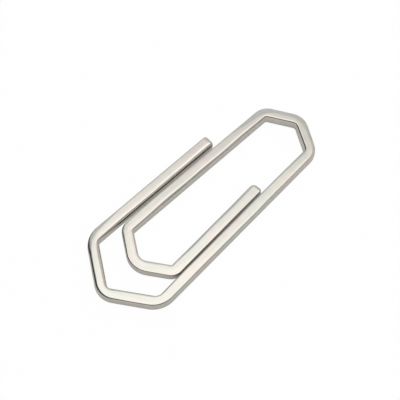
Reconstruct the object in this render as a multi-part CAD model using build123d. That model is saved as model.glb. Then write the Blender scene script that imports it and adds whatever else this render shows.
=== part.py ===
from build123d import *
import os
from math import atan2, cos, degrees, dist, radians, sin, tan

# A large paper clip bent from one length of square wire with softened edges.
# The wire lies flat and always turns the same way. From its outer tip it runs down the
# outer free leg, round a blunt three-bend nose, up the long leg, round a three-bend head,
# and back down inside as a tongue with a nose and a free leg of its own.
# Each straight run and each bend is a solid, divided where the bend's arc begins and ends.
# Frame in millimetres: +X points from the nose to the head, +Z is up, the underside lies
# at Z = 0, and the origin is under the middle of the clip.

# Wire
wire = 2.5
wire_edge_radius = 0.5
tip_extra_radius = 0.15        # a tip's corners are rounder in plan than the wire's edges
tongue_tip_extra_radius = 0.6  # the tongue tip's corner on its window side is rounder still
edge_share = 0.9               # most of the half width that an edge rounding may take
tip_share = 0.98               # most of the half width that a tip's corner may take

# Plan, between the corners of the wire's centreline
body_length = 46.0            # nose shoulders to head shoulders
nose_span = 19.75             # outer free leg to long leg, across the nose shoulders
leg_taper = 2.0               # degrees by which each side leans in towards the head
shoulder_turn = 58.0          # degrees turned at each shoulder of the nose, head and tongue
outer_leg_stop = 12.8         # outer free leg's tip, short of the head shoulders
outer_leg_clearance = 0.65    # outer free leg to the tongue's long leg
tongue_setback = 6.65         # nose shoulders to tongue shoulders
tongue_leg_stop = 13.7        # tongue free leg's tip, short of the head shoulders
tongue_leg_clearance = 0.15   # tongue free leg to the long leg, at the tongue shoulder
tongue_leg_splay = 0.3        # degrees by which the tongue free leg leaves the long leg

# Inside radii of the bends
nose_shoulder_radius = 3.0
nose_tip_radius = 2.0
head_shoulder_radius = 1.2
head_tip_radius = 1.6
tongue_shoulder_radius = 0.4
tongue_tip_radius = 2.6

# Roundings, held inside the wire
half_wire = wire / 2
edge_radius = min(wire_edge_radius, edge_share * half_wire)
tip_radius = min(edge_radius + tip_extra_radius, tip_share * half_wire)
tongue_tip_radius_left = min(edge_radius + tongue_tip_extra_radius, tip_share * wire - tip_radius)

# Legs: distance across the clip at a station measured from the nose shoulders
side_lean = tan(radians(leg_taper))
splay_lean = tan(radians(leg_taper + tongue_leg_splay))
outer_leg_pitch = (wire + outer_leg_clearance) / cos(radians(leg_taper))
tongue_leg_pitch = (wire + tongue_leg_clearance) / cos(radians(leg_taper))


def outer_leg_y(station):
    return nose_span / 2 - side_lean * station


def long_leg_y(station):
    return -outer_leg_y(station)


def tongue_long_leg_y(station):
    return outer_leg_y(station) - outer_leg_pitch


def tongue_free_leg_y(station):
    shoulder_y = long_leg_y(tongue_setback) + tongue_leg_pitch
    return shoulder_y + splay_lean * (station - tongue_setback)


def end_tip(station, left_y, right_y, slant):
    # The two slants of an end start at one station, lean alike and cross midway.
    reach = (left_y - right_y) / 2 / tan(radians(slant))
    return (station + reach, (left_y + right_y) / 2)


# Corners of the centreline, from the outer tip to the tongue's tip
nose_slant = shoulder_turn - leg_taper
head_slant = shoulder_turn + leg_taper
outer_tip = body_length - outer_leg_stop
tongue_tip = body_length - tongue_leg_stop
nose_left_y = outer_leg_y(0)
nose_right_y = long_leg_y(0)
nose_tip = end_tip(0, nose_left_y, nose_right_y, -nose_slant)
head_right_y = long_leg_y(body_length)
head_left_y = tongue_long_leg_y(body_length)
head_tip = end_tip(body_length, head_left_y, head_right_y, head_slant)
tongue_left_y = tongue_long_leg_y(tongue_setback)
tongue_right_y = tongue_free_leg_y(tongue_setback)
stations = [
    (outer_tip, outer_leg_y(outer_tip)),
    (0, nose_left_y),
    nose_tip,
    (0, nose_right_y),
    (body_length, head_right_y),
    head_tip,
    (body_length, head_left_y),
    (tongue_setback, tongue_left_y),
    end_tip(tongue_setback, tongue_left_y, tongue_right_y, -nose_slant),
    (tongue_setback, tongue_right_y),
    (tongue_tip, tongue_free_leg_y(tongue_tip)),
]


def outside_past_corner(inside_radius, slant):
    # How far an end's outside lies past the corner of its centreline
    centre_radius = inside_radius + half_wire
    return half_wire - centre_radius * (1 / sin(radians(slant)) - 1)


# The origin goes midway between the outsides of the nose and the head
nose_end = nose_tip[0] - outside_past_corner(nose_tip_radius, nose_slant)
head_end = head_tip[0] + outside_past_corner(head_tip_radius, head_slant)
middle = (nose_end + head_end) / 2
corners = [(x - middle, y) for x, y in stations]

# Sections in the order the wire runs: a straight run, then the bend that follows it
runs = [
    "outer_free_leg",
    "nose_left_slant",
    "nose_right_slant",
    "long_leg",
    "head_right_slant",
    "head_left_slant",
    "tongue_long_leg",
    "tongue_left_slant",
    "tongue_right_slant",
    "tongue_free_leg",
]
bends = [
    ("nose_left_bend", nose_shoulder_radius),
    ("nose_tip_bend", nose_tip_radius),
    ("nose_right_bend", nose_shoulder_radius),
    ("head_right_bend", head_shoulder_radius),
    ("head_tip_bend", head_tip_radius),
    ("head_left_bend", head_shoulder_radius),
    ("tongue_left_bend", tongue_shoulder_radius),
    ("tongue_tip_bend", tongue_tip_radius),
    ("tongue_right_bend", tongue_shoulder_radius),
]


def heading(start, end):
    return degrees(atan2(end[1] - start[1], end[0] - start[0]))


def ahead(point, angle, distance):
    turned = radians(angle)
    return (point[0] + distance * cos(turned), point[1] + distance * sin(turned))


headings = [heading(a, b) for a, b in zip(corners, corners[1:])]
turns = [(after - before) % 360 for before, after in zip(headings, headings[1:])]
centre_radii = [inside_radius + half_wire for name, inside_radius in bends]
tangents = [r * tan(radians(turn / 2)) for r, turn in zip(centre_radii, turns)]


def wire_section(point, angle):
    # The wire's square profile with rounded edges, standing across its heading
    across = Plane(
        origin=(point[0], point[1], half_wire),
        x_dir=(-sin(radians(angle)), cos(radians(angle)), 0),
        z_dir=(cos(radians(angle)), sin(radians(angle)), 0),
    )
    return across * RectangleRounded(wire, wire, edge_radius)


def straight_run(start, angle, length):
    return extrude(wire_section(start, angle), amount=length)


def bend(start, angle, centre_radius, turn):
    centre = ahead(start, angle + 90, centre_radius)
    upright = Axis((centre[0], centre[1], 0), (0, 0, 1))
    return revolve(wire_section(start, angle), axis=upright, revolution_arc=turn)


def free_leg(root, angle, length, left_radius):
    # A straight run whose far end is a tip: its corners are rounded in plan, and the wire's
    # edge rounding goes on round them. The root end stays a plain cut across the wire.
    outline = Pos(length / 2, 0) * Rectangle(length, wire)
    right_corner = outline.vertices().group_by(Axis.Y)[0].sort_by(Axis.X)[-1]
    outline = fillet(right_corner, tip_radius)
    left_corner = outline.vertices().group_by(Axis.Y)[-1].sort_by(Axis.X)[-1]
    blank = extrude(fillet(left_corner, left_radius), amount=wire)
    level_edges = blank.edges().filter_by(GeomType.LINE).filter_by(Axis.Z, reverse=True)
    level_edges += blank.edges().filter_by(GeomType.CIRCLE)
    root_edges = level_edges.group_by(Axis.X)[0]
    rim = [edge for edge in level_edges if edge not in root_edges]
    return Pos(root[0], root[1], 0) * Rot(0, 0, angle) * fillet(rim, edge_radius)


sections = {}
last = len(runs) - 1
for i, name in enumerate(runs):
    before = tangents[i - 1] if i > 0 else 0
    after = tangents[i] if i < last else 0
    length = dist(corners[i], corners[i + 1]) - before - after
    start = ahead(corners[i], headings[i], before)
    if i == 0:
        root = ahead(start, headings[i], length)
        sections[name] = free_leg(root, headings[i] + 180, length, tip_radius)
    elif i == last:
        sections[name] = free_leg(start, headings[i], length, tongue_tip_radius_left)
    else:
        sections[name] = straight_run(start, headings[i], length)

for i, (name, inside_radius) in enumerate(bends):
    start = ahead(corners[i + 1], headings[i], -tangents[i])
    sections[name] = bend(start, headings[i], centre_radii[i], turns[i])

os.makedirs("parts", exist_ok=True)
for name, section in sections.items():
    export_step(section, f"parts/{name}.step")
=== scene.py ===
import bpy
import numpy as np
from math import atan2, ceil, cos, degrees, hypot, pi, radians, sin, sqrt
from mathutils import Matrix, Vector


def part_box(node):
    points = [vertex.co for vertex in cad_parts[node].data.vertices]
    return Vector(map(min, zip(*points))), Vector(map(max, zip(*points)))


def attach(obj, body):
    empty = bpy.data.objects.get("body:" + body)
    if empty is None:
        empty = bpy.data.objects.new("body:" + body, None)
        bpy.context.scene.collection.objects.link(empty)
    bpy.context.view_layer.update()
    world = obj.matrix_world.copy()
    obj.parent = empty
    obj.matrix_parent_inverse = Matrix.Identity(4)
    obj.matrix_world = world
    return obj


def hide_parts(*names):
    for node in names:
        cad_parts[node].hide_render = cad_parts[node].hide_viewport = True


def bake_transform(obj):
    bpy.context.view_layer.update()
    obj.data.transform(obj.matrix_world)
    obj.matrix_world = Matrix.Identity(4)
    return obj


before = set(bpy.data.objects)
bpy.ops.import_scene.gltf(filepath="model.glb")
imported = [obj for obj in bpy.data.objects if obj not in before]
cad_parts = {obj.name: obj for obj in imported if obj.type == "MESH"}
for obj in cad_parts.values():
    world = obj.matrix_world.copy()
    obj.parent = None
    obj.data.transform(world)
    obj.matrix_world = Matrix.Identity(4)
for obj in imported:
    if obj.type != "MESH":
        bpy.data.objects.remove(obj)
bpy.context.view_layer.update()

# Outer loop: nose, long leg and head
# The wide loop that goes behind the paper, one unbroken stretch of the clip's single wire.
# The wire is hard steel, drawn and then rolled square with softened edges. It is bent cold
# round pins, tumbled until its edges are smooth, and plated with bright nickel.
mm = 0.001                    # in metres. Lengths are in millimetres where no unit is given
low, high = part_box("long_leg")
half_wire = (high.z - low.z) / mm / 2
edge_radius = 0.5             # softened edges of the square wire, before it is polished
face_crown = 1.2              # degrees by which a rolled face falls away at its sides
face_steps = 8                # points across a face of the wire
edge_steps = 10               # points round an edge
run_step = 0.6                # between rings along a straight run
bend_step = 2.5               # degrees between rings round a bend
bend_ease = 0.7               # over which the squeeze of a bend dies out along the wire
bend_thinning = 0.035         # share by which the outside of a bend thins as it stretches
least_turn = 1.0              # degrees, below which a section counts as straight
tip_round = 0.75              # rounding of a tip's end, over and under
tip_step = 9                  # degrees between rings round a tip's roundings
tip_face_rings = (0.7, 0.35)  # rings on a tip's end, as shares of its rim
same_point = 0.001            # within which corners of two sections are one point
shortest_stretch = 0.01       # of a section that gets rings of its own
place_digits = 5              # to which places along the wire are told apart
rolled_under = 0.004          # by which the rolled wire is under its nominal size
rolling_depth = 0.008         # uneven rolling that the polish has not taken out
rolling_waves = [             # length along the wire, twist per millimetre round it, phase
    (9.7, 1.1, 0.0),
    (4.3, -0.7, 1.9),
    (2.3, 0.4, 0.6),
]

wire_order = [
    "outer_free_leg",
    "nose_left_bend",
    "nose_left_slant",
    "nose_tip_bend",
    "nose_right_slant",
    "nose_right_bend",
    "long_leg",
    "head_right_bend",
    "head_right_slant",
    "head_tip_bend",
    "head_left_slant",
    "head_left_bend",
    "tongue_long_leg",
    "tongue_left_bend",
    "tongue_left_slant",
    "tongue_tip_bend",
    "tongue_right_slant",
    "tongue_right_bend",
    "tongue_free_leg",
]
# Roundings of a section's upper edges, on the left and on the right as the wire runs: how far in
# across the top, and how far down the side. The clip is polished lying flat, so the mop rounds the
# upper edges that it reaches, most of all round the outside of a bend, and those in a narrow gap
# stay sharper. The lower edges stay as the rolls left them.
polished_edges = {
    "outer_free_leg": ((0.80, 0.90), (0.20, 0.30)),
    "nose_left_bend": ((0.60, 0.80), (1.30, 0.28)),
    "nose_left_slant": ((0.80, 0.80), (0.84, 0.84)),
    "nose_right_slant": ((0.46, 0.76), (0.46, 0.80)),
    "long_leg": ((0.36, 0.60), (0.50, 0.90)),
    "head_right_bend": ((0.60, 1.00), (0.60, 0.95)),
    "head_right_slant": ((0.60, 1.75), (0.80, 0.55)),
    "head_left_slant": ((0.46, 1.75), (0.85, 0.50)),
    "head_left_bend": ((0.50, 1.50), (1.60, 0.42)),
    "tongue_long_leg": ((0.70, 1.20), (0.20, 0.36)),
    "tongue_left_slant": ((0.44, 0.70), (0.44, 0.72)),
    "tongue_right_slant": ((0.36, 0.62), (0.17, 0.30)),
    "tongue_free_leg": ((0.66, 0.90), (0.15, 0.26)),
}
run_hold = (0.2, 0.8)         # shares of a straight run between which its roundings hold
bend_hold = (0.5,)            # share of a bend at which it has its own
edge_unevenness = 0.06        # share by which an edge's rounding wanders along the wire
edge_waves = [                # length along the wire, and phase between left and right
    (23.0, 2.0),
    (11.0, 1.0),
]
# Radii of the pins that the bends were pressed round. A pin that is sharper than the bend bites
# into its inside and leaves the wire a little narrower there.
pin_radii = {
    "nose_left_bend": 0.7,
    "nose_tip_bend": 0.9,
    "nose_right_bend": 1.6,
    "head_right_bend": 0.5,
    "head_tip_bend": 0.8,
    "head_left_bend": 0.5,
    "tongue_tip_bend": 2.2,
}


def plan_points(node):
    """Corners of a section's mesh in plan, in millimetres."""
    return np.array([v.co[:2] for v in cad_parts[node].data.vertices]) / mm


def seam(before, after):
    """Middle of the face where two sections of the wire meet, and the wire's heading there."""
    points = plan_points(before)
    others = plan_points(after)
    shared = np.array([p for p in points if np.abs(others - p).max(axis=1).min() < same_point])
    middle = (shared.max(axis=0) + shared.min(axis=0)) / 2
    across = shared[np.hypot(*(shared - middle).T).argmax()] - middle
    ahead = np.array([across[1], -across[0]])
    if ahead @ (others.mean(axis=0) - points.mean(axis=0)) < 0:
        ahead = -ahead
    return middle[0], middle[1], degrees(atan2(ahead[1], ahead[0]))


def reach(node, x, y, heading):
    """How far a section goes past a point, along a heading."""
    way = np.array([cos(radians(heading)), sin(radians(heading))])
    return ((plan_points(node) - (x, y)) @ way).max()


# The wire's middle line: for each section its start along the wire, its length, the plan
# point and heading at its start, and how many degrees it turns
seams = [seam(a, b) for a, b in zip(wire_order, wire_order[1:])]
x, y, heading = seams[0]
length = reach("outer_free_leg", x, y, heading + 180)
x -= length * cos(radians(heading))
y -= length * sin(radians(heading))
wire_line = [(0.0, length, x, y, heading, 0.0)]
for (x, y, way), (next_x, next_y, next_way) in zip(seams, seams[1:]):
    start = wire_line[-1][0] + wire_line[-1][1]
    heading = wire_line[-1][4] + wire_line[-1][5]
    turn = (next_way - way + 180) % 360 - 180
    length = hypot(next_x - x, next_y - y)
    if turn > least_turn:
        length *= radians(turn / 2) / sin(radians(turn / 2))
    else:
        turn = 0.0
    wire_line.append((start, length, x, y, heading, turn))
x, y, way = seams[-1]
start = wire_line[-1][0] + wire_line[-1][1]
heading = wire_line[-1][4] + wire_line[-1][5]
wire_line.append((start, reach("tongue_free_leg", x, y, way), x, y, heading, 0.0))
section_start = {name: row[0] for name, row in zip(wire_order, wire_line)}
wire_end = wire_line[-1][0] + wire_line[-1][1]


def wire_at(s):
    """Plan point and heading of the wire's middle line, s millimetres from the outer tip."""
    start, length, x, y, heading, turn = [row for row in wire_line if row[0] <= max(s, 0)][-1]
    along = s - start
    if turn == 0:
        chord = along
    else:
        turned = turn * min(along / length, 1)
        chord = 2 * length / radians(turn) * sin(radians(turned / 2))
        heading += turned / 2
    x += chord * cos(radians(heading))
    y += chord * sin(radians(heading))
    if turn != 0:
        heading += turned / 2
    return x, y, heading


def bent(s):
    """How hard the wire is bent at s: the wire's width over the bend's radius."""
    turned = wire_at(s + bend_ease)[2] - wire_at(s - bend_ease)[2]
    return 2 * half_wire * radians(turned) / (2 * bend_ease)


def pin_bite(s):
    """How far the pin of a bend has pressed the wire's inside out of its arc at s."""
    for name, (start, length, x, y, heading, turn) in zip(wire_order, wire_line):
        if name in pin_radii and start < s < start + length:
            pin = pin_radii[name]
            inside = length / radians(turn) - half_wire
            half_turn = radians(turn / 2)
            off_middle = abs((s - start) / length - 0.5) * radians(turn)
            pin_middle = (inside - pin) / cos(half_turn)
            leaves_pin = atan2(pin * sin(half_turn), pin_middle + pin * cos(half_turn))
            if off_middle > leaves_pin:
                return inside / cos(half_turn - off_middle) - inside
            round_pin = sqrt(pin ** 2 - (pin_middle * sin(off_middle)) ** 2)
            return pin_middle * cos(off_middle) + round_pin - inside
    return 0.0


edge_places = []
edge_shapes = []
for name, (start, length, x, y, heading, turn) in zip(wire_order, wire_line):
    if name in polished_edges:
        for share in bend_hold if turn else run_hold:
            edge_places.append(start + share * length)
            edge_shapes.append(polished_edges[name])


def upper_edges(s):
    """Roundings of the wire's left and right upper edges at s, across the top and down the side."""
    rounded = []
    for side in (0, 1):
        across, down = [
            np.interp(s, edge_places, [edges[side][way] for edges in edge_shapes])
            for way in (0, 1)
        ]
        wander = sum(sin(2 * pi * s / length + lag * side) for length, lag in edge_waves)
        share = 1 + edge_unevenness * wander
        rounded.append((across * share, down * share))
    return rounded


def wire_ring(left, right):
    """Points round the wire's section, from its underside up its right side: across to the
    left, up, and how much of an edge each point is."""
    points = []
    corners = [
        (-1, -1, edge_radius, edge_radius),
        (-1, 1, *right),
        (1, 1, *left),
        (1, -1, edge_radius, edge_radius),
    ]

    def on_edge(corner, angle):
        side, level, wide, tall = corner
        return (
            side * (half_wire - wide) - wide * sin(angle),
            level * (half_wire - tall) - tall * cos(angle),
        )

    for quarter, corner in enumerate(corners):
        turn = pi / 2 * quarter
        face_start = on_edge(corners[quarter - 1], turn)
        face_end = on_edge(corner, turn)
        for i in range(face_steps):
            share = i / face_steps
            points.append((
                face_start[0] + share * (face_end[0] - face_start[0]),
                face_start[1] + share * (face_end[1] - face_start[1]),
                0.0,
            ))
        for i in range(edge_steps):
            edge = i / edge_steps
            points.append((*on_edge(corner, turn + pi / 2 * edge), sin(pi * edge)))
    fall = radians(face_crown) / 2
    return [
        (
            across * (1 - fall * (up / half_wire) ** 2),
            up * (1 - fall * (across / half_wire) ** 2),
            edge,
        )
        for across, up, edge in points
    ]


plain_edge = (edge_radius, edge_radius)
plain_ring = np.array(wire_ring(plain_edge, plain_edge))[:, :2]
ring_steps = np.hypot(*(np.roll(plain_ring, -1, axis=0) - plain_ring).T)
around = np.concatenate([[0], np.cumsum(ring_steps)])


def stations(start, end):
    """Where the rings of a stretch of wire stand along it."""
    found = []
    for row_start, length, x, y, heading, turn in wire_line:
        first = max(row_start, start)
        last = min(row_start + length, end)
        if last - first > shortest_stretch:
            steps = ceil(turn / bend_step) if turn else ceil((last - first) / run_step)
            found += list(np.linspace(first, last, steps + 1)[:-1])
    return found + [end]


def rolling(s, around):
    """Share of the rolling depth that is missing at a spot on the wire."""
    waves = [
        sin(2 * pi * s / length + twist * around + phase)
        for length, twist, phase in rolling_waves
    ]
    return (1 + sum(waves) / len(waves)) / 2


def wire_piece(name, start, end, tip_radii=None):
    """A stretch of the wire as a closed mesh. Where tip_radii is given, the stretch has a
    rounded tip at its free end: the radii of the tip's left and right corners in plan."""
    count = len(plain_ring)
    at = stations(start, end)
    tip_at = None
    if tip_radii:
        tip_at = start if start == 0 else end
        inward = 1 if start == 0 else -1
        for radius in {tip_round, *tip_radii}:
            turns = range(0, 90, tip_step)
            at += [tip_at + inward * radius * (1 - sin(radians(a))) for a in turns]
        at = sorted({round(s, place_digits) for s in at})
    verts = []
    wear = []
    stretch = []
    for s in at:
        x, y, heading = wire_at(s)
        ease = max(bent(s), 0.0)
        bite = pin_bite(s)
        left = right = top = half_wire
        if tip_radii:
            depth = abs(s - tip_at)
            left, right, top = [
                half_wire - r + sqrt(max(r * r - max(r - depth, 0) ** 2, 0))
                for r in (*tip_radii, tip_round)
            ]
        for (across, up, edge), run in zip(wire_ring(*upper_edges(s)), around):
            missing = rolled_under + rolling_depth * rolling(s, run)
            across *= 1 - missing / half_wire
            up *= 1 - missing / half_wire
            up *= 1 - bend_thinning * ease * max(-across, 0) / half_wire
            across -= bite * max(across, 0) / half_wire
            across = across * (left + right) / (2 * half_wire) + (left - right) / 2
            up *= top / half_wire
            verts.append((
                (x - across * sin(radians(heading))) * mm,
                (y + across * cos(radians(heading))) * mm,
                (half_wire + up) * mm,
            ))
            wear.append(edge)
            stretch.append(ease * max(-across, 0) / half_wire)
    faces = []
    places = []
    for i in range(len(at) - 1):
        for j in range(count):
            k = (j + 1) % count
            faces.append((i * count + j, (i + 1) * count + j, (i + 1) * count + k, i * count + k))
            places += [
                (at[i], around[j]),
                (at[i + 1], around[j]),
                (at[i + 1], around[j + 1]),
                (at[i], around[j + 1]),
            ]
    sharp = set()
    for i, s in ((0, at[0]), (len(at) - 1, at[-1])):
        rim = [i * count + j for j in range(count)]
        if i > 0:
            rim.reverse()
        if s == tip_at:
            middle = np.mean([verts[v] for v in rim], axis=0)
            outer = rim
            for share in tip_face_rings:
                inner = [len(verts) + j for j in range(count)]
                verts += [tuple(middle + share * (np.array(verts[v]) - middle)) for v in rim]
                for j in range(count):
                    k = (j + 1) % count
                    faces.append((outer[j], outer[k], inner[k], inner[j]))
                    places += [(s, 0.0)] * 4
                outer = inner
            faces.append(tuple(outer))
            places += [(s, 0.0)] * count
            wear += [0.0] * (len(tip_face_rings) * count)
            stretch += [0.0] * (len(tip_face_rings) * count)
        else:
            faces.append(tuple(rim))
            places += [(s, 0.0)] * count
            sharp |= {frozenset((rim[j], rim[j - 1])) for j in range(count)}
    mesh = bpy.data.meshes.new(name)
    mesh.from_pydata(verts, [], faces)
    mesh.update()
    mesh.shade_smooth()
    for edge in mesh.edges:
        edge.use_edge_sharp = frozenset(edge.vertices) in sharp
    wire_places = mesh.uv_layers.new(name="wire_mm")
    wire_places.data.foreach_set("uv", np.array(places, np.float32).ravel())
    for kind, amounts in (("edge_wear", wear), ("bend_stretch", stretch)):
        attribute = mesh.attributes.new(kind, "FLOAT", "POINT")
        attribute.data.foreach_set("value", np.array(amounts, np.float32))
    piece = bpy.data.objects.new(name, mesh)
    bpy.context.scene.collection.objects.link(piece)
    return piece


def linear(hex_colour):
    """Linear colour, with alpha, of an sRGB hex value."""
    parts = [int(hex_colour[i:i + 2], 16) / 255 for i in (1, 3, 5)]
    return [p / 12.92 if p <= 0.04045 else ((p + 0.055) / 1.055) ** 2.4 for p in parts] + [1.0]


def node(tree, kind, settings=None, **inputs):
    """Adds a node. A setting is a property of the node. An input is given as a value, as the
    socket that it is linked from, or as a node, which means that node's first output in use.
    Inputs are named, or numbered as in _0."""
    made = tree.nodes.new(kind)
    for name, value in (settings or {}).items():
        setattr(made, name, value)
    for name, value in inputs.items():
        key = int(name[1:]) if name[0] == "_" else name.replace("_", " ")
        if isinstance(value, bpy.types.Node):
            value = next(socket for socket in value.outputs if socket.enabled)
        if isinstance(value, bpy.types.NodeSocket):
            tree.links.new(value, made.inputs[key])
        else:
            made.inputs[key].default_value = value
    return made


# Bright nickel plate on drawn wire: a soft mirror, faintly warm, that shows the light above it
# in its faces and the floor in its sides. Lines left by the drawing die run along it, fine
# scratches from tumbling cross it, the plating's tint drifts, and the outsides of the bends have
# the dull grain of stretched metal. The lines and scratches are drawn about four times as wide
# as real ones, which would be too fine to show.
surface_marks = {             # length, width, degrees of slant to the wire, layers of detail
    "die_lines": (14.0, 0.24, 0.0, 3.0),
    "scratches": (2.2, 0.14, 34.0, 2.0),
    "cross_scratches": (2.2, 0.14, -52.0, 2.0),
    "tint_patches": (10.0, 2.5, 0.0, 1.0),
    "bend_grain": (0.3, 0.3, 0.0, 1.0),
    "edge_polish": (1.5, 0.6, 0.0, 2.0),
}
finer_share = 0.55            # strength of each finer layer of a pattern
# Levels of a pattern at which a mark begins and is full
scratch_levels = (0.64, 0.74)
cross_scratch_levels = (0.66, 0.76)
tint_levels = (0.35, 0.65)
line_levels = (0.30, 0.50)
polish_levels = (0.4, 0.6)
line_dull_levels = (0.3, 0.7)
line_shade = 0.35             # most of the darker tone that a die line shows
polish_shine = 0.5            # most of the paler tone that a burnished edge shows
line_roughness_range = (0.12, 0.06)  # in a die line, and between lines
scratch_roughness = 0.10      # added in a scratch
grain_roughness = 0.16        # added by the grain of a bend
surface_relief = 0.0016       # depth of the lines and scratches
scratch_height = -0.5         # shares of that depth
grain_height = 0.8
nickel = bpy.data.materials.new("bright_nickel_plate_on_drawn_steel")
nickel.use_nodes = True
tree = nickel.node_tree
tree.nodes.clear()
wire_mm = node(tree, "ShaderNodeUVMap", {"uv_map": "wire_mm"})
stretched = node(tree, "ShaderNodeAttribute", {"attribute_name": "bend_stretch"})
worn = node(tree, "ShaderNodeAttribute", {"attribute_name": "edge_wear"})

marks = {}
for name, (length, width, slant, detail) in surface_marks.items():
    laid = node(
        tree,
        "ShaderNodeMapping",
        {"vector_type": "TEXTURE"},
        Vector=wire_mm,
        Rotation=(0, 0, radians(slant)),
        Scale=(length, width, 1),
    )
    marks[name] = node(
        tree,
        "ShaderNodeTexNoise",
        {"noise_dimensions": "2D"},
        Vector=laid,
        Scale=1.0,
        Detail=detail,
        Roughness=finer_share,
    )

one_way = node(
    tree,
    "ShaderNodeMapRange",
    Value=marks["scratches"],
    From_Min=scratch_levels[0],
    From_Max=scratch_levels[1],
)
other_way = node(
    tree,
    "ShaderNodeMapRange",
    Value=marks["cross_scratches"],
    From_Min=cross_scratch_levels[0],
    From_Max=cross_scratch_levels[1],
)
scratched = node(tree, "ShaderNodeMath", {"operation": "MAXIMUM"}, _0=one_way, _1=other_way)
dulled = node(
    tree,
    "ShaderNodeMath",
    {"operation": "MULTIPLY"},
    _0=marks["bend_grain"],
    _1=stretched.outputs["Fac"],
)

tinted = node(
    tree,
    "ShaderNodeMapRange",
    Value=marks["tint_patches"],
    From_Min=tint_levels[0],
    From_Max=tint_levels[1],
)
plate = node(
    tree,
    "ShaderNodeMix",
    {"data_type": "RGBA"},
    _0=tinted,
    _6=linear("#D0CAC3"),
    _7=linear("#CACAC1"),
)
lined = node(
    tree,
    "ShaderNodeMapRange",
    Value=marks["die_lines"],
    From_Min=line_levels[0],
    From_Max=line_levels[1],
    To_Min=line_shade,
    To_Max=0.0,
)
lined_plate = node(
    tree,
    "ShaderNodeMix",
    {"data_type": "RGBA"},
    _0=lined,
    _6=plate,
    _7=linear("#B5B1AB"),
)
patchy = node(
    tree,
    "ShaderNodeMapRange",
    Value=marks["edge_polish"],
    From_Min=polish_levels[0],
    From_Max=polish_levels[1],
    To_Max=polish_shine,
)
burnished = node(tree, "ShaderNodeMath", {"operation": "MULTIPLY"}, _0=patchy, _1=worn.outputs["Fac"])
burnished_plate = node(
    tree,
    "ShaderNodeMix",
    {"data_type": "RGBA"},
    _0=burnished,
    _6=lined_plate,
    _7=linear("#DBD9D4"),
)

line_roughness = node(
    tree,
    "ShaderNodeMapRange",
    Value=marks["die_lines"],
    From_Min=line_dull_levels[0],
    From_Max=line_dull_levels[1],
    To_Min=line_roughness_range[0],
    To_Max=line_roughness_range[1],
)
mark_roughness = node(
    tree,
    "ShaderNodeMath",
    {"operation": "MULTIPLY_ADD"},
    _0=scratched,
    _1=scratch_roughness,
    _2=line_roughness,
)
roughness = node(
    tree,
    "ShaderNodeMath",
    {"operation": "MULTIPLY_ADD"},
    _0=dulled,
    _1=grain_roughness,
    _2=mark_roughness,
)

mark_height = node(
    tree,
    "ShaderNodeMath",
    {"operation": "MULTIPLY_ADD"},
    _0=scratched,
    _1=scratch_height,
    _2=marks["die_lines"],
)
height = node(
    tree,
    "ShaderNodeMath",
    {"operation": "MULTIPLY_ADD"},
    _0=dulled,
    _1=grain_height,
    _2=mark_height,
)
bump = node(tree, "ShaderNodeBump", Strength=1.0, Distance=surface_relief * mm, Height=height)
metal = node(
    tree,
    "ShaderNodeBsdfPrincipled",
    Base_Color=burnished_plate,
    Metallic=1.0,
    Roughness=roughness,
    Normal=bump,
)
node(tree, "ShaderNodeOutputMaterial", Surface=metal)

nose_start = section_start["nose_left_slant"]
head_end = section_start["head_left_slant"]
outer_loop = wire_piece("outer_loop_wire", nose_start, head_end)
outer_loop.data.materials.append(nickel)
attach(outer_loop, "outer_loop")
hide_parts(*wire_order[2:10])

# Outer free leg
# The first straight stretch of the same wire and the nose's left shoulder, which it springs up
# and down from. It is sheared off square at its tip and tumbled round.
outer_tip_radii = (0.65, 0.65)
outer_leg_flex = 8.0          # along the leg, from its root
outer_root = section_start["nose_left_bend"]


def plan_spot(s):
    """Point of the wire's middle line at s, in metres."""
    x, y, heading = wire_at(s)
    return x * mm, y * mm, half_wire * mm


outer_leg = wire_piece("outer_free_leg_wire", 0, nose_start, outer_tip_radii)
outer_leg.data.materials.append(nickel)
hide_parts(*wire_order[:2])
plan_spot(nose_start)
plan_spot(outer_root - outer_leg_flex)
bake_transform(outer_leg)

# Tongue
# The inner loop that goes in front of the paper: the wire's next stretch after the head's tip,
# with a blunt nose of its own. It lies flat; in use it lifts as the head's left side twists and bends.
tongue_flex = 9.0             # along its long leg, from the head
tongue_root = section_start["tongue_long_leg"]
tongue_end = section_start["tongue_right_bend"]
tongue = wire_piece("tongue_wire", head_end, tongue_end)
tongue.data.materials.append(nickel)
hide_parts(*wire_order[10:17])
plan_spot(head_end)
plan_spot(tongue_root + tongue_flex)
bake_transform(tongue)

# Tongue free leg
# The last stretch of the wire, with the tongue's right shoulder that it springs from, lying
# close beside the long leg. The corner of its tip that faces the tongue's window is tumbled
# rounder than the others.
tongue_tip_radii = (1.1, 0.65)
tongue_leg_flex = 4.0         # along the leg, from its root
tongue_leg_root = section_start["tongue_free_leg"]
tongue_leg = wire_piece("tongue_free_leg_wire", tongue_end, wire_end, tongue_tip_radii)
tongue_leg.data.materials.append(nickel)
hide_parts(*wire_order[17:])
plan_spot(tongue_end)
plan_spot(tongue_leg_root + tongue_leg_flex)
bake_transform(tongue_leg)

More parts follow.
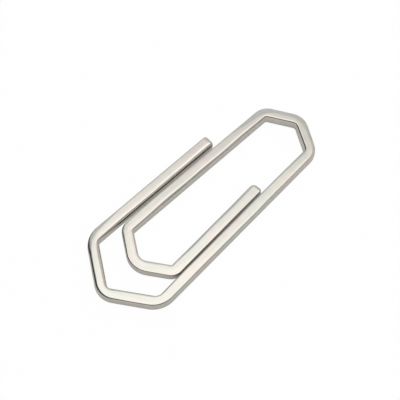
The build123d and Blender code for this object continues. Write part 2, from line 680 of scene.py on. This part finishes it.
# Floor
# A sheet of white matt paper under the clip. The eye sees it white, with a faint shadow close
# to the wire, and the wire's sides reflect it with more of that shadow.
floor_side = 6.0              # metres
floor_gap = 0.00001           # metres under the clip
white_to_eye = 0.96           # share of the paper that the camera sees as plain white
white_in_metal = 0.26         # share that a reflection sees as plain white
mesh = bpy.data.meshes.new("paper_floor")
corner = floor_side / 2
mesh.from_pydata(
    [(i * corner, j * corner, -floor_gap) for i, j in ((-1, -1), (1, -1), (1, 1), (-1, 1))],
    [],
    [(0, 1, 2, 3)],
)
paper_floor = bpy.data.objects.new("paper_floor", mesh)
bpy.context.scene.collection.objects.link(paper_floor)
paper = bpy.data.materials.new("matt_white_paper")
paper.use_nodes = True
tree = paper.node_tree
tree.nodes.clear()
ray = node(tree, "ShaderNodeLightPath")
reflected = node(
    tree,
    "ShaderNodeMath",
    {"operation": "MAXIMUM"},
    _0=ray.outputs["Is Glossy Ray"],
    _1=ray.outputs["Is Transmission Ray"],
)
metal_share = node(tree, "ShaderNodeMath", {"operation": "MULTIPLY"}, _0=reflected, _1=white_in_metal)
white_share = node(
    tree,
    "ShaderNodeMath",
    {"operation": "MULTIPLY_ADD"},
    _0=ray.outputs["Is Camera Ray"],
    _1=white_to_eye,
    _2=metal_share,
)
paper_colour = node(
    tree,
    "ShaderNodeMix",
    {"data_type": "RGBA"},
    _0=ray.outputs["Is Camera Ray"],
    _6=linear("#D4D4D2"),
    _7=linear("#FFFFFF"),
)
matt = node(tree, "ShaderNodeBsdfDiffuse", Color=paper_colour)
white = node(tree, "ShaderNodeEmission", Color=linear("#FFFFFF"), Strength=1.0)
sheet = node(tree, "ShaderNodeMixShader", _0=white_share, _1=matt, _2=white)
node(tree, "ShaderNodeOutputMaterial", Surface=sheet)
paper_floor.data.materials.append(paper)

# Light
# One large soft box over the clip, leaning towards the camera, in a room that is pale and cool
# beyond the clip, pale and warm at the right, duller on the camera's side and dark at the left.
# Past the edge of the floor the camera sees plain white.
camera_azimuth = -45.58       # degrees round from the long leg's side
camera_elevation = 64.13
box_tilt = 9.0                # degrees that the soft box leans towards the camera
box_inner = 29.5              # degrees from its middle to where its light begins to fall off
box_outer = 43.5              # degrees from its middle to its edge
box_strength = 1.56
room_strength = 0.84
lower_walls = "#F4F8FD"
wall_colours = {
    "upper_walls": "#F3EBE7",
    "right_side": "#F5F1EC",
    "camera_side": "#8C8B89",
    "left_side": "#54514E",
}


def direction(azimuth, elevation):
    """Way out from the clip at an azimuth and an elevation."""
    return Vector((
        sin(radians(azimuth)) * cos(radians(elevation)),
        -cos(radians(azimuth)) * cos(radians(elevation)),
        sin(radians(elevation)),
    ))


# Parts of the room: the way to its middle, and where it begins and is full, as the cosine of the
# angle from that middle
room_parts = {
    "upper_walls": (direction(0, 90), 0.70, 0.95),
    "right_side": (direction(camera_azimuth + 90, 0), 0.1, 0.7),
    "camera_side": (direction(camera_azimuth, 0), 0.1, 0.8),
    "left_side": (direction(camera_azimuth - 90, 0), 0.35, 0.8),
    "soft_box": (
        direction(camera_azimuth, 90 - box_tilt),
        cos(radians(box_outer)),
        cos(radians(box_inner)),
    ),
}
world = bpy.data.worlds.new("room_with_soft_box")
bpy.context.scene.world = world
world.use_nodes = True
tree = world.node_tree
tree.nodes.clear()
place = node(tree, "ShaderNodeTexCoord")
shares = {}
for part, (towards, begins, full) in room_parts.items():
    turned = node(
        tree,
        "ShaderNodeVectorMath",
        {"operation": "DOT_PRODUCT"},
        _0=place.outputs["Generated"],
        _1=towards,
    )
    shares[part] = node(
        tree,
        "ShaderNodeMapRange",
        {"interpolation_type": "SMOOTHSTEP"},
        Value=turned.outputs["Value"],
        From_Min=begins,
        From_Max=full,
    )
walls = linear(lower_walls)
for part, colour in wall_colours.items():
    walls = node(
        tree,
        "ShaderNodeMix",
        {"data_type": "RGBA"},
        _0=shares[part],
        _6=walls,
        _7=linear(colour),
    )
room = node(tree, "ShaderNodeBackground", Color=walls, Strength=room_strength)
soft_box = node(tree, "ShaderNodeBackground", Color=linear("#FFFFFF"), Strength=box_strength)
light = node(tree, "ShaderNodeMixShader", _0=shares["soft_box"], _1=room, _2=soft_box)
ray = node(tree, "ShaderNodeLightPath")
backdrop = node(tree, "ShaderNodeBackground", Color=linear("#FFFFFF"), Strength=1.0)
scene_light = node(tree, "ShaderNodeMixShader", _0=ray.outputs["Is Camera Ray"], _1=light, _2=backdrop)
node(tree, "ShaderNodeOutputWorld", Surface=scene_light)

# Camera
# At the photograph's angle and distance, with the lens that gives its perspective.
frame_pixels = 400
focal_pixels = 1400
sensor_width = 36.0           # millimetres
camera_distance = 0.2906      # metres
nearest_seen = 0.01           # metres from the camera
look_at = Vector((0.70, 1.09, 0.0)) * mm
camera = bpy.data.cameras.new("camera")
camera.sensor_width = sensor_width
camera.lens = focal_pixels / frame_pixels * sensor_width
camera.clip_start = nearest_seen
viewer = bpy.data.objects.new("camera", camera)
bpy.context.scene.collection.objects.link(viewer)
back = direction(camera_azimuth, camera_elevation)
viewer.location = look_at + camera_distance * back
viewer.rotation_euler = back.to_track_quat("Z", "Y").to_euler()
bpy.context.scene.camera = viewer
bpy.context.scene.view_settings.view_transform = "Standard"
